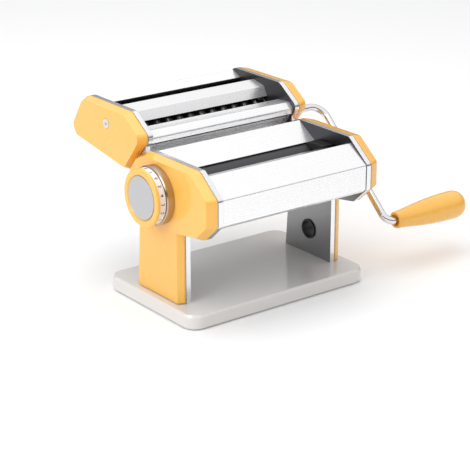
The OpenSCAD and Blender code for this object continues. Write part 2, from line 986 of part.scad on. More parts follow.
module narrow_front_roller() {
    color(chrome) {
        grooved(narrow_front, narrow_r, narrow_core, narrow_strip, 0);
        bar(narrow_front, -cutter_gear_end, plate_out + 1 + cutter_gear_end, narrow_journal);
    }
}

module narrow_rear_roller() {
    color(chrome)
        difference() {
            union() {
                grooved(narrow_rear, narrow_r, narrow_core, narrow_strip, 1);
                bar(narrow_rear, -cutter_gear_end, socket_mouth + cutter_gear_end, narrow_journal);
            }
            crank_socket(narrow_rear, 20);
        }
}

module wide_front_gear() {
    color(steel)
        gear(wide_front, cutter_gear_x, cutter_gear_w, wide_teeth, wide_pitch / 2, wide_journal + 0.02,
             cutter_tilt);
}

module wide_rear_gear() {
    color(steel)
        gear(wide_rear, cutter_gear_x, cutter_gear_w, wide_teeth, wide_pitch / 2, wide_journal + 0.02,
             180 + cutter_tilt + 180 / wide_teeth);
}

module narrow_front_gear() {
    color(steel)
        gear(narrow_front, -cutter_gear_x - cutter_gear_w, cutter_gear_w, narrow_teeth, narrow_pitch / 2,
             narrow_journal + 0.02, cutter_tilt);
}

module narrow_rear_gear() {
    color(steel)
        gear(narrow_rear, -cutter_gear_x - cutter_gear_w, cutter_gear_w, narrow_teeth, narrow_pitch / 2,
             narrow_journal + 0.02, 180 + cutter_tilt + 180 / narrow_teeth);
}

// Comb under a grooved roller, its teeth standing in the grooves
module comb(p, r, core, strip, phase, angle) {
    pitch = 2 * strip;
    count = floor(roller_len / pitch);
    start = -count * pitch / 2 + (1 - phase) * strip;
    tooth = strip - 0.8;
    difference() {
        translate([0, p[0], p[1]])
            rotate([angle, 0, 0]) {
                translate([-half_sheet, r + 1, -1.5])
                    cube([2 * half_sheet, 3, 3]);
                for (i = [0:count - 1])
                    translate([start + i * pitch + 0.4, core, -0.8])
                        cube([tooth, r - core + 1.5, 1.6]);
            }
        bar(p, -half_roller - cut, roller_len + 2 * cut, core + loose);
    }
}

module wide_combs() {
    color(dark) {
        comb(wide_front, wide_r, wide_core, wide_strip, 0, -95);
        comb(wide_rear, wide_r, wide_core, wide_strip, 1, -80);
    }
}

module narrow_combs() {
    color(dark) {
        comb(narrow_front, narrow_r, narrow_core, narrow_strip, 0, -95);
        comb(narrow_rear, narrow_r, narrow_core, narrow_strip, 1, -80);
    }
}

// ---- Crank ----

// One straight length of rod in the crank's plane, from a to b
module rod_between(a, b) {
    d = b - a;
    translate(a)
        rotate([0, 90, atan2(d[1], d[0])])
            cylinder(h = norm(d), r = rod_r);
}

// A square bend of radius r in the crank's plane, about c, starting at angle a0
module rod_bend(c, a0, r) {
    translate(c)
        rotate([0, 0, a0])
            rotate_extrude(angle = 90)
                translate([r, 0])
                    circle(r = rod_r);
}

module crank_rod() {
    start = socket_mouth - socket_depth + 1;
    color(steel)
        difference() {
            translate([0, wide_front[0], wide_front[1]])
                rotate([arm_swing, 0, 0]) {
                    rod_between([start, 0], [arm_x - bend_r, 0]);
                    rod_bend([arm_x - bend_r, bend_r], -90, bend_r);
                    rod_between([arm_x, bend_r], [arm_x, arm_len - foot_bend_r]);
                    rod_bend([arm_x + foot_bend_r, arm_len - foot_bend_r], 90, foot_bend_r);
                    rod_between([arm_x + foot_bend_r, arm_len], [rod_end, arm_len]);
                }
            translate([drive_pin_x, wide_front[0] - 10, wide_front[1]])
                rotate([-90, 0, 0])
                    cylinder(h = 20, r = pin_r + 0.02);
        }
}

module crank_drive_pin() {
    color(steel)
        translate([drive_pin_x, wide_front[0] - 6.1, wide_front[1]])
            rotate([-90, 0, 0])
                cylinder(h = 12.2, r = pin_r);
}

module grip_retainer() {
    color(dark)
        difference() {
            bar(grip_axis, rod_end - 4, 1.5, rod_r + 2);
            bar(grip_axis, rod_end - 5, 4, rod_r + 0.02);
        }
}

module grip() {
    swell = bezier([8.4, 0.012], [9.1, 0.2], [grip_r - 0.1, 0.4], [grip_r, 0.84], 10);
    nose = bezier([grip_r, 0.84], [grip_r, 0.95], [0.67 * grip_r, 1], [0, 1], 10);
    color(yellow)
        difference() {
            turned(grip_axis)
                polygon([for (q = concat([[0, 0], [7.4, 0]], swell, [for (i = [1:10]) nose[i]]))
                    [q[0], grip_x + grip_len * q[1]]]);
            bar(grip_axis, grip_x - cut, rod_end - grip_x + 1 + cut, rod_r + 0.06);
            bar(grip_axis, grip_x - cut, 3 + cut, 5.6);
            bar(grip_axis, rod_end - 4.3, 2.1, rod_r + 2.3);
        }
}

base_plate();
non_slip_mat();
base_screws();
left_side_plate();
right_side_plate();
left_cover();
right_cover();
front_cover_sheet();
rear_cover_sheet();
tie_rods();
tie_rod_nuts();
cover_screws();
front_roller_bushes();
front_scraper();
left_dough_guide();
right_dough_guide();
clamp_bush();
index_collar();
front_roller();
front_roller_gear();
left_carrier();
right_carrier();
carriage_bar();
rear_scraper();
cam_follower_pin();
rear_roller();
rear_roller_gear();
regulator_shaft();
regulator_screw();
knob_body();
knob_dial();
knob_cap();
knob_locating_pin();
knob_spring();
cutter_left_plate();
cutter_right_plate();
cutter_left_cover();
cutter_right_cover();
cutter_nose_sheet();
cutter_roof_sheet();
cutter_rear_sheet();
cutter_lower_sheet();
cutter_tie_rods();
cutter_tie_rod_nuts();
cutter_cover_screws();
cutter_bushes();
wide_combs();
narrow_combs();
wide_front_roller();
wide_front_gear();
wide_rear_roller();
wide_rear_gear();
narrow_front_roller();
narrow_front_gear();
narrow_rear_roller();
narrow_rear_gear();
crank_rod();
crank_drive_pin();
grip_retainer();
grip();
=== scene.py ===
"""Looks of a hand-cranked pasta roller with a removable cutter unit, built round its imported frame.

Everything is in metres in the frame's own axes: X along the rollers towards the crank, Y to the rear, Z up.
"""

import logging
import math
from dataclasses import dataclass
from enum import Enum

import bpy
from mathutils import Euler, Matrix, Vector


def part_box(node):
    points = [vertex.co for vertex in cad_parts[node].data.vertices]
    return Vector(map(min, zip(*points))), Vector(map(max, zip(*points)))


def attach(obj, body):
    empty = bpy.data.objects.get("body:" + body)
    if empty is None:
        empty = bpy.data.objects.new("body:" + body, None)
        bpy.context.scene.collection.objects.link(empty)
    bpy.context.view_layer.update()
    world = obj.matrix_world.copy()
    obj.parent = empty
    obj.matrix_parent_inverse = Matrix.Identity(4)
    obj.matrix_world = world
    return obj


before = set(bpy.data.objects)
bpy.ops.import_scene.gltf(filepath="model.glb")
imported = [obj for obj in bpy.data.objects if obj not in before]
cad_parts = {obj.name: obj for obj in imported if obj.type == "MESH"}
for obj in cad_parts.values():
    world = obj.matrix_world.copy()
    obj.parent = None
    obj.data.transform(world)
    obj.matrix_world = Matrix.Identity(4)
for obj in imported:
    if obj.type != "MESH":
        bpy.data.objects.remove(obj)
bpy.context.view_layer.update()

LOG = logging.getLogger("pasta_roller")
MM = 0.001
Colour = tuple[float, float, float]
Place = tuple[float, float, float]

# Sockets of a colour Mix node by index, because its float and colour sockets share their names
MIX_FACTOR = 0
MIX_LOW = 6
MIX_HIGH = 7
MIX_RESULT = 2

# Dressing of the meshes
WELD_GAP = 0.001 * MM
FLAT_TURN = math.radians(0.4)
FACE_WEIGHT = 80
FACES_INWARD = 0.25


def rgba(colour: Colour) -> tuple[float, float, float, float]:
    """Adds full opacity to a colour."""
    return (*colour, 1.0)


def math_node(tree: bpy.types.NodeTree, operation: str) -> bpy.types.Node:
    """Makes a Math node.

    Args:
        tree: the nodes it joins.
        operation: Blender's name for the sum it does.

    Returns:
        The node.
    """
    node = tree.nodes.new("ShaderNodeMath")
    node.operation = operation
    return node


# ---------------------------------------------------------------------------
# Shader effects that several finishes share
# ---------------------------------------------------------------------------


class Effect(Enum):
    """The shared surface effects, each one node group."""

    GRAIN = "fine grain"
    SMUDGE = "handling smudges"
    EDGE = "painted edge shade"


class GroupMaker:
    """Builds the shared node groups once and hands them out."""

    grain_detail: float = 3.0
    smudge_detail: float = 5.0
    smudge_swirl: float = 0.6
    smudge_full: float = 0.85
    edge_samples: int = 4
    edge_flat: float = 1.0
    edge_sharp: float = 0.86

    def __init__(self) -> None:
        """Starts with no group made."""
        self._made: dict[Effect, bpy.types.NodeTree] = {}

    def get(self, effect: Effect) -> bpy.types.NodeTree:
        """Returns one effect's node group, making it the first time.

        Args:
            effect: which effect is wanted.

        Returns:
            The node group.
        """
        if effect not in self._made:
            maker = {Effect.GRAIN: self._grain, Effect.SMUDGE: self._smudge, Effect.EDGE: self._edge}
            self._made[effect] = maker[effect]()
        return self._made[effect]

    @staticmethod
    def _open(name: str, sockets: dict[str, float], outputs: list[str],
              ) -> tuple[bpy.types.NodeTree, bpy.types.Node, bpy.types.Node]:
        """Makes an empty group with float inputs and outputs.

        Args:
            name: the group's name.
            sockets: input names and their default values.
            outputs: output names.

        Returns:
            The group, its input node and its output node.
        """
        tree = bpy.data.node_groups.new(name, "ShaderNodeTree")
        for key, value in sockets.items():
            made = tree.interface.new_socket(key, in_out="INPUT", socket_type="NodeSocketFloat")
            made.default_value = value
        for key in outputs:
            tree.interface.new_socket(key, in_out="OUTPUT", socket_type="NodeSocketFloat")
        return tree, tree.nodes.new("NodeGroupInput"), tree.nodes.new("NodeGroupOutput")

    def _grain(self) -> bpy.types.NodeTree:
        """Noise drawn out along X by Stretch: brushing on metal, or an even grain where Stretch is 1."""
        tree, start, end = self._open("fine grain", {"Scale": 900.0, "Stretch": 1.0}, ["Height"])
        link = tree.links.new
        place = tree.nodes.new("ShaderNodeTexCoord")
        split = tree.nodes.new("ShaderNodeSeparateXYZ")
        short = math_node(tree, "DIVIDE")
        join = tree.nodes.new("ShaderNodeCombineXYZ")
        noise = tree.nodes.new("ShaderNodeTexNoise")
        noise.inputs["Detail"].default_value = self.grain_detail
        link(place.outputs["Object"], split.inputs[0])
        link(split.outputs["X"], short.inputs[0])
        link(start.outputs["Stretch"], short.inputs[1])
        link(short.outputs[0], join.inputs["X"])
        link(split.outputs["Y"], join.inputs["Y"])
        link(split.outputs["Z"], join.inputs["Z"])
        link(join.outputs[0], noise.inputs["Vector"])
        link(start.outputs["Scale"], noise.inputs["Scale"])
        link(noise.outputs["Fac"], end.inputs["Height"])
        return tree

    def _smudge(self) -> bpy.types.NodeTree:
        """Broad soft patches where hands have left the surface a little duller."""
        tree, start, end = self._open("handling smudges", {"Scale": 35.0, "Cover": 0.5}, ["Mask"])
        link = tree.links.new
        place = tree.nodes.new("ShaderNodeTexCoord")
        noise = tree.nodes.new("ShaderNodeTexNoise")
        noise.inputs["Detail"].default_value = self.smudge_detail
        noise.inputs["Distortion"].default_value = self.smudge_swirl
        low = math_node(tree, "SUBTRACT")
        low.inputs[0].default_value = 1.0
        spread = tree.nodes.new("ShaderNodeMapRange")
        spread.interpolation_type = "SMOOTHSTEP"
        spread.inputs["From Max"].default_value = self.smudge_full
        link(place.outputs["Object"], noise.inputs["Vector"])
        link(start.outputs["Scale"], noise.inputs["Scale"])
        link(start.outputs["Cover"], low.inputs[1])
        link(noise.outputs["Fac"], spread.inputs["Value"])
        link(low.outputs[0], spread.inputs["From Min"])
        link(spread.outputs[0], end.inputs["Mask"])
        return tree

    def _edge(self) -> bpy.types.NodeTree:
        """A mask that is 1 on sharp outer edges, broken up by noise, where a darker colour is painted as
        edge shade.
        """
        tree, start, end = self._open("painted edge shade", {"Width": 0.0006, "Break": 120.0}, ["Mask"])
        link = tree.links.new
        soft = tree.nodes.new("ShaderNodeBevel")
        soft.samples = self.edge_samples
        flat = tree.nodes.new("ShaderNodeNewGeometry")
        dot = tree.nodes.new("ShaderNodeVectorMath")
        dot.operation = "DOT_PRODUCT"
        spread = tree.nodes.new("ShaderNodeMapRange")
        spread.inputs["From Min"].default_value = self.edge_flat
        spread.inputs["From Max"].default_value = self.edge_sharp
        place = tree.nodes.new("ShaderNodeTexCoord")
        noise = tree.nodes.new("ShaderNodeTexNoise")
        both = math_node(tree, "MULTIPLY")
        link(start.outputs["Width"], soft.inputs["Radius"])
        link(soft.outputs[0], dot.inputs[0])
        link(flat.outputs["Normal"], dot.inputs[1])
        link(dot.outputs["Value"], spread.inputs["Value"])
        link(place.outputs["Object"], noise.inputs["Vector"])
        link(start.outputs["Break"], noise.inputs["Scale"])
        link(spread.outputs[0], both.inputs[0])
        link(noise.outputs["Fac"], both.inputs[1])
        link(both.outputs[0], end.inputs["Mask"])
        return tree


GROUPS = GroupMaker()


# ---------------------------------------------------------------------------
# Finishes
# ---------------------------------------------------------------------------


@dataclass(frozen=True)
class Finish:
    """One material: its plain values and how much of each shared effect it shows."""

    name: str
    colour: Colour
    roughness: float
    metallic: float = 0.0
    coat: float = 0.0
    coat_roughness: float = 0.06
    ior: float = 1.5
    bump_depth: float = 0.2 * MM
    grain_scale: float = 900.0
    grain_stretch: float = 1.0
    grain_bump: float = 0.05
    grain_rough: float = 0.05
    smudge_scale: float = 35.0
    smudge_rough: float = 0.08
    # The edge colour is painted shade on sharp edges and folds; the fade colour is painted shade that
    # darkens the part towards the top.
    edge_shade_colour: Colour | None = None
    shade_fade_colour: Colour | None = None
    shade_fade_low: float = 0.0
    shade_fade_high: float = 0.1

    def build(self) -> bpy.types.Material:
        """Makes the Blender material.

        Returns:
            The material, with its effects placed and linked.
        """
        made = bpy.data.materials.new(self.name)
        made.use_nodes = True
        made.diffuse_color = rgba(self.colour)
        tree = made.node_tree
        shader = tree.nodes["Principled BSDF"]
        shader.inputs["Base Color"].default_value = rgba(self.colour)
        shader.inputs["Metallic"].default_value = self.metallic
        shader.inputs["Roughness"].default_value = self.roughness
        shader.inputs["Coat Weight"].default_value = self.coat
        shader.inputs["Coat Roughness"].default_value = self.coat_roughness
        shader.inputs["IOR"].default_value = self.ior
        grain = self._place(tree, Effect.GRAIN, {"Scale": self.grain_scale, "Stretch": self.grain_stretch})
        smudge = self._place(tree, Effect.SMUDGE, {"Scale": self.smudge_scale})
        self._roughness(tree, shader, grain, smudge)
        self._bump(tree, shader, grain)
        self._colour(tree, shader)
        return made

    @staticmethod
    def _place(tree: bpy.types.NodeTree, effect: Effect, values: dict[str, float]) -> bpy.types.Node:
        """Puts a shared effect in the material with this finish's own values.

        Args:
            tree: the material's nodes.
            effect: which effect.
            values: its input values.

        Returns:
            The group node.
        """
        node = tree.nodes.new("ShaderNodeGroup")
        node.node_tree = GROUPS.get(effect)
        for key, value in values.items():
            node.inputs[key].default_value = value
        return node

    def _roughness(self, tree: bpy.types.NodeTree, shader: bpy.types.Node, grain: bpy.types.Node,
                   smudge: bpy.types.Node) -> None:
        """Roughness: the plain value, more where smudged, and a little up and down with the grain.

        Args:
            tree: the material's nodes.
            shader: the Principled shader.
            grain: the grain effect's node.
            smudge: the smudge effect's node.
        """
        add = math_node(tree, "MULTIPLY_ADD")
        add.inputs[1].default_value = self.smudge_rough
        add.inputs[2].default_value = self.roughness - self.grain_rough / 2
        total = math_node(tree, "MULTIPLY_ADD")
        total.inputs[1].default_value = self.grain_rough
        total.use_clamp = True
        tree.links.new(smudge.outputs["Mask"], add.inputs[0])
        tree.links.new(grain.outputs["Height"], total.inputs[0])
        tree.links.new(add.outputs[0], total.inputs[2])
        tree.links.new(total.outputs[0], shader.inputs["Roughness"])

    def _bump(self, tree: bpy.types.NodeTree, shader: bpy.types.Node, grain: bpy.types.Node) -> None:
        """Bump from the grain.

        Args:
            tree: the material's nodes.
            shader: the Principled shader.
            grain: the grain effect's node.
        """
        bump = tree.nodes.new("ShaderNodeBump")
        bump.inputs["Strength"].default_value = self.grain_bump
        bump.inputs["Distance"].default_value = self.bump_depth
        tree.links.new(grain.outputs["Height"], bump.inputs["Height"])
        tree.links.new(bump.outputs[0], shader.inputs["Normal"])

    def _colour(self, tree: bpy.types.NodeTree, shader: bpy.types.Node) -> None:
        """Colour: a painted shade that darkens up the part, and painted shade on the sharp edges, where the
        finish has them.

        Args:
            tree: the material's nodes.
            shader: the Principled shader.
        """
        last = None
        # Painted shade: the colour darkens towards the fade colour as the part climbs in Z.
        if self.shade_fade_colour is not None:
            place = tree.nodes.new("ShaderNodeTexCoord")
            split = tree.nodes.new("ShaderNodeSeparateXYZ")
            climb = tree.nodes.new("ShaderNodeMapRange")
            climb.interpolation_type = "SMOOTHSTEP"
            climb.inputs["From Min"].default_value = self.shade_fade_low
            climb.inputs["From Max"].default_value = self.shade_fade_high
            last = self._mix(tree, self.colour, self.shade_fade_colour)
            tree.links.new(place.outputs["Object"], split.inputs[0])
            tree.links.new(split.outputs["Z"], climb.inputs["Value"])
            tree.links.new(climb.outputs[0], last.inputs[MIX_FACTOR])
        # Painted shade on the sharp edges: the edge mask mixes in the darker edge colour.
        if self.edge_shade_colour is not None:
            edge = self._place(tree, Effect.EDGE, {})
            edge_shaded = self._mix(tree, self.colour, self.edge_shade_colour)
            if last is not None:
                tree.links.new(last.outputs[MIX_RESULT], edge_shaded.inputs[MIX_LOW])
            tree.links.new(edge.outputs["Mask"], edge_shaded.inputs[MIX_FACTOR])
            last = edge_shaded
        if last is not None:
            tree.links.new(last.outputs[MIX_RESULT], shader.inputs["Base Color"])

    @staticmethod
    def _mix(tree: bpy.types.NodeTree, low: Colour, high: Colour) -> bpy.types.Node:
        """Makes a mix of two colours.

        Args:
            tree: the material's nodes.
            low: the colour where the factor is 0.
            high: the colour where the factor is 1.

        Returns:
            The mix node.
        """
        mix = tree.nodes.new("ShaderNodeMix")
        mix.data_type = "RGBA"
        mix.inputs[MIX_LOW].default_value = rgba(low)
        mix.inputs[MIX_HIGH].default_value = rgba(high)
        return mix


# The darker orange on the yellow plastic's edges is painted shade.
YELLOW = Finish("yellow gloss plastic", (0.94, 0.50, 0.085), 0.26, coat=0.5, grain_scale=1400.0,
                grain_bump=0.03, edge_shade_colour=(0.80, 0.33, 0.04))
# The grey on the chromed sheets' edges and folds is painted shade.
CHROME = Finish("chromed sheet", (0.93, 0.93, 0.935), 0.27, metallic=0.8, grain_scale=700.0,
                grain_stretch=60.0, grain_bump=0.02, grain_rough=0.08, smudge_rough=0.05,
                edge_shade_colour=(0.45, 0.45, 0.46))
# The near-black inside of the sheets is painted shade in the housing.
INSIDE_PAINTED_SHADE = Finish("inside of the sheets with painted shade", (0.035, 0.035, 0.037), 0.55, metallic=0.4, grain_scale=900.0,
                grain_bump=0.05)
ROLLER = Finish("ground roller steel", (0.62, 0.62, 0.63), 0.24, metallic=1.0, grain_scale=500.0,
                grain_stretch=0.2, grain_bump=0.05, grain_rough=0.1)
# The near-black rear roller is painted shade in the nip between the rollers.
NIP_PAINTED_SHADE = Finish("rear roller steel with painted shade", (0.07, 0.07, 0.075), 0.4, metallic=0.8, grain_scale=500.0,
             grain_bump=0.04, grain_rough=0.1)
CUTTER = Finish("grooved roller steel", (0.22, 0.22, 0.225), 0.32, metallic=1.0, grain_scale=500.0,
                grain_bump=0.05, grain_rough=0.1)
COLLAR = Finish("warm bright collar", (0.50, 0.40, 0.31), 0.22, metallic=1.0, grain_scale=500.0,
                grain_bump=0.04, grain_rough=0.1)
# The darker grey on the plates' rims is painted shade.
PLATE = Finish("zinc-plated edge", (0.86, 0.87, 0.89), 0.22, metallic=1.0, grain_scale=600.0,
               grain_bump=0.03, edge_shade_colour=(0.35, 0.35, 0.36))
# The inner faces' grey, darkening towards the top, is painted shade on the same plated steel as the rims.
PLATE_FACE_SHADE = Finish("plate inner face with painted shade", (0.36, 0.36, 0.37), 0.34, metallic=1.0, grain_scale=500.0,
                    grain_bump=0.04, grain_rough=0.12, shade_fade_colour=(0.045, 0.045, 0.05),
                    shade_fade_low=0.06, shade_fade_high=0.125)
# The near-black inner faces of the cutter plates are painted shade.
CUTTER_FACE_SHADE = Finish("cutter plate inner face with painted shade", (0.045, 0.045, 0.05), 0.36, metallic=0.6, grain_scale=500.0,
                     grain_bump=0.04)
STEEL = Finish("bright steel", (0.72, 0.72, 0.73), 0.24, metallic=1.0, grain_scale=900.0, grain_bump=0.04)
ROD = Finish("chromed rod", (0.80, 0.80, 0.82), 0.10, metallic=1.0, grain_scale=600.0, grain_bump=0.015,
             grain_rough=0.04, smudge_rough=0.06)
BASE = Finish("pale enamel", (0.73, 0.71, 0.685), 0.14, coat=0.8, grain_scale=900.0, grain_bump=0.02,
              smudge_rough=0.1)
RUBBER = Finish("black rubber", (0.02, 0.02, 0.02), 0.8, grain_scale=1500.0, grain_bump=0.4)
BLACK = Finish("satin black plastic", (0.012, 0.012, 0.013), 0.42, grain_scale=1600.0, grain_bump=0.15)
NYLON = Finish("natural nylon", (0.62, 0.58, 0.50), 0.45, grain_scale=1200.0, grain_bump=0.05)
DIAL = Finish("white number band", (0.80, 0.79, 0.78), 0.3, coat=0.3, grain_scale=1500.0, grain_bump=0.02)
INK = Finish("black ink", (0.02, 0.018, 0.016), 0.5, grain_scale=1800.0, grain_bump=0.1)
CAP = Finish("grey satin cap", (0.49, 0.495, 0.505), 0.4, metallic=0.2, grain_scale=1300.0, grain_bump=0.08)


class FinishShelf:
    """Keeps each finish's material, so that each is made once."""

    def __init__(self) -> None:
        """Starts empty."""
        self._made: dict[str, bpy.types.Material] = {}

    def get(self, finish: Finish) -> bpy.types.Material:
        """Returns a finish's material, making it the first time.

        Args:
            finish: the finish wanted.

        Returns:
            Its material.
        """
        if finish.name not in self._made:
            self._made[finish.name] = finish.build()
        return self._made[finish.name]


SHELF = FinishShelf()


# ---------------------------------------------------------------------------
# Dressing of the frame's own nodes
# ---------------------------------------------------------------------------


def node_object(node: str) -> bpy.types.Object:
    """Returns the frame's object of a node."""
    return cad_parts[node]


def soften(obj: bpy.types.Object, radius: float, segments: int = 3, limit: float = 28.0) -> None:
    """Rounds an object's sharp edges and keeps its flats flat.

    Args:
        obj: the object to dress.
        radius: width of the rounding, in metres; 0 leaves the edges sharp.
        segments: steps in the rounding.
        limit: edges sharper than this turn, in degrees, are rounded.
    """
    mesh = obj.data
    normals = mesh.attributes.get("custom_normal")
    if normals is not None:
        mesh.attributes.remove(normals)
    mesh.polygons.foreach_set("use_smooth", [True] * len(mesh.polygons))
    weld = obj.modifiers.new("weld", "WELD")
    weld.merge_threshold = WELD_GAP
    flat = obj.modifiers.new("flats", "DECIMATE")
    flat.decimate_type = "DISSOLVE"
    flat.angle_limit = FLAT_TURN
    flat.delimit = {"MATERIAL"}
    if radius > 0:
        bevel = obj.modifiers.new("edges", "BEVEL")
        bevel.width = radius
        bevel.segments = segments
        bevel.limit_method = "ANGLE"
        bevel.angle_limit = math.radians(limit)
        bevel.miter_outer = "MITER_ARC"
    normal = obj.modifiers.new("normals", "WEIGHTED_NORMAL")
    normal.mode = "FACE_AREA_WITH_ANGLE"
    normal.weight = FACE_WEIGHT


def dress(node: str, finish: Finish, radius: float = 0.0002, segments: int = 2) -> bpy.types.Object:
    """Gives a node its finish and softened edges.

    Args:
        node: the node's name.
        finish: its finish.
        radius: rounding of its edges, in metres.
        segments: steps in the rounding.

    Returns:
        The node's object.
    """
    obj = node_object(node)
    obj.data.materials.clear()
    obj.data.materials.append(SHELF.get(finish))
    soften(obj, radius, segments)
    LOG.info("%s: %s", node, finish.name)
    return obj


def add_finish(obj: bpy.types.Object, finish: Finish) -> int:
    """Adds a finish to an object's materials and returns its index."""
    obj.data.materials.append(SHELF.get(finish))
    return len(obj.data.materials) - 1


def paint_faces(obj: bpy.types.Object, finish: Finish, way: Vector, close: float = 0.9) -> None:
    """Gives the faces that look along one direction a second finish.

    Args:
        obj: the object.
        finish: the finish of those faces.
        way: the direction they look in.
        close: how near a face's normal must be to it, as a cosine.
    """
    index = add_finish(obj, finish)
    for face in obj.data.polygons:
        if face.normal.dot(way) > close:
            face.material_index = index


def paint_inside(obj: bpy.types.Object, finish: Finish, middle: tuple[float, float]) -> None:
    """Gives the faces of a folded sheet that look towards the inside a second, darker finish that paints
    the shade inside the housing.

    Args:
        obj: the sheet.
        finish: the finish of its inside.
        middle: a point well inside the housing, as Y and Z in metres.
    """
    index = add_finish(obj, finish)
    for face in obj.data.polygons:
        way = Vector((0.0, middle[0] - face.center.y, middle[1] - face.center.z)).normalized()
        if face.normal.dot(way) > FACES_INWARD:
            face.material_index = index


# ---------------------------------------------------------------------------
# Sub-assemblies
# ---------------------------------------------------------------------------


@dataclass
class Base:
    """The enamelled base with its non-slip sheet and screws."""

    edge: float = 1.0 * MM
    edge_steps: int = 3

    def build(self) -> None:
        """Dresses the base, its sheet and its screws."""
        dress("base_plate", BASE, self.edge, self.edge_steps)
        dress("non_slip_mat", RUBBER)
        dress("base_screws", STEEL)


@dataclass
class SideFrames:
    """Side plates and covers of the main body."""

    cover_edge: float = 1.6 * MM
    cover_steps: int = 4
    plate_edge: float = 0.35 * MM
    bush_edge: float = 0.4 * MM

    def build(self) -> None:
        """Dresses both sides' plates and covers."""
        for side, inward in (("left", 1.0), ("right", -1.0)):
            dress(f"{side}_cover", YELLOW, self.cover_edge, self.cover_steps)
            plate = dress(f"{side}_side_plate", PLATE, self.plate_edge)
            # The plates' inner faces get a painted shade.
            paint_faces(plate, PLATE_FACE_SHADE, Vector((inward, 0, 0)))
        dress("clamp_bush", BLACK, self.bush_edge)
        for node in ("tie_rods", "tie_rod_nuts", "cover_screws"):
            dress(node, STEEL)


@dataclass
class Sheets:
    """Chromed sheets and dough guides of the main body."""

    fold: float = 0.12 * MM
    front_middle: tuple[float, float] = (-0.045, 0.112)
    rear_middle: tuple[float, float] = (0.010, 0.115)

    def build(self) -> None:
        """Dresses the sheets, the scraper and the guides."""
        for side, middle in (("front", self.front_middle), ("rear", self.rear_middle)):
            # The sheets' inward faces get a painted shade.
            paint_inside(dress(f"{side}_cover_sheet", CHROME, self.fold), INSIDE_PAINTED_SHADE, middle)
        dress("front_scraper", STEEL)
        for side in ("left", "right"):
            dress(f"{side}_dough_guide", BLACK)


@dataclass
class SmoothRollers:
    """The two smooth rollers, their gears, bushes and the rear roller's carriage."""

    end_edge: float = 0.4 * MM
    gear_edge: float = 0.1 * MM

    def build(self) -> None:
        """Dresses the rollers and what carries them."""
        # The rear roller gets a painted shade.
        for side, finish in (("front", ROLLER), ("rear", NIP_PAINTED_SHADE)):
            dress(f"{side}_roller", finish, self.end_edge)
            dress(f"{side}_roller_gear", STEEL, self.gear_edge, 1)
        dress("front_roller_bushes", NYLON)
        for side in ("left", "right"):
            dress(f"{side}_carrier", NYLON)
        for node in ("carriage_bar", "rear_scraper", "cam_follower_pin"):
            dress(node, STEEL)


@dataclass
class Regulator:
    """The thickness knob with its number band, and the works behind it."""

    settings: int = 10
    first_angle: float = 234.5
    step_angle: float = 18.0
    digit_height: float = 3.5 * MM
    font_to_digit: float = 1.42
    digit_lift: float = 0.05 * MM
    digit_sink: float = 0.3
    digit_swell: float = 0.05 * MM
    digit_steps: int = 4
    collar_edge: float = 0.3 * MM
    knob_edge: float = 0.5 * MM
    knob_steps: int = 4
    dial_edge: float = 0.15 * MM
    cap_edge: float = 0.25 * MM
    works_edge: float = 0.1 * MM
    body: str = "knob"

    def build(self) -> None:
        """Dresses the knob and prints the digits on its band."""
        dress("index_collar", COLLAR, self.collar_edge)
        dress("knob_body", YELLOW, self.knob_edge, self.knob_steps)
        dress("knob_dial", DIAL, self.dial_edge)
        dress("knob_cap", CAP, self.cap_edge)
        for node in ("regulator_shaft", "regulator_screw", "knob_locating_pin", "knob_spring"):
            dress(node, STEEL, self.works_edge)
        self._digits()

    def _digits(self) -> None:
        """Sets the digits 0 to 9 round the band, reading along the axis."""
        low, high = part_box("knob_dial")
        centre = (low + high) / 2
        radius = (high.z - low.z) / 2
        for value in range(self.settings):
            angle = math.radians(self.first_angle - self.step_angle * value)
            obj = self._digit(str(value), centre, radius, angle)
            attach(obj, self.body)
            LOG.info("%s: digit on the number band", obj.name)

    def _digit(self, text: str, centre: Vector, radius: float, angle: float) -> bpy.types.Object:
        """Makes one digit as a thin solid that hugs the band.

        Args:
            text: the digit.
            centre: the band's centre.
            radius: the band's outer radius.
            angle: where it sits round the band, in radians.

        Returns:
            The digit's object.
        """
        curve = bpy.data.curves.new(f"digit_{text}_outline", "FONT")
        curve.body = text
        curve.size = self.digit_height * self.font_to_digit
        curve.align_x = "CENTER"
        curve.align_y = "CENTER"
        curve.extrude = self.digit_lift
        curve.offset = self.digit_swell
        curve.resolution_u = self.digit_steps
        flat = bpy.data.objects.new(f"digit_{text}_flat", curve)
        bpy.context.scene.collection.objects.link(flat)
        bpy.context.view_layer.update()
        mesh = bpy.data.meshes.new_from_object(flat.evaluated_get(bpy.context.evaluated_depsgraph_get()))
        bpy.data.objects.remove(flat)
        for vertex in mesh.vertices:
            across, along, lift = vertex.co
            turn = angle + across / radius
            reach = radius + lift - self.digit_sink * self.digit_lift
            vertex.co = Vector((
                centre.x - along,
                centre.y + reach * math.cos(turn),
                centre.z + reach * math.sin(turn),
            ))
        mesh.materials.clear()
        mesh.materials.append(SHELF.get(INK))
        obj = bpy.data.objects.new(f"dial_digit_{text}", mesh)
        bpy.context.scene.collection.objects.link(obj)
        return obj


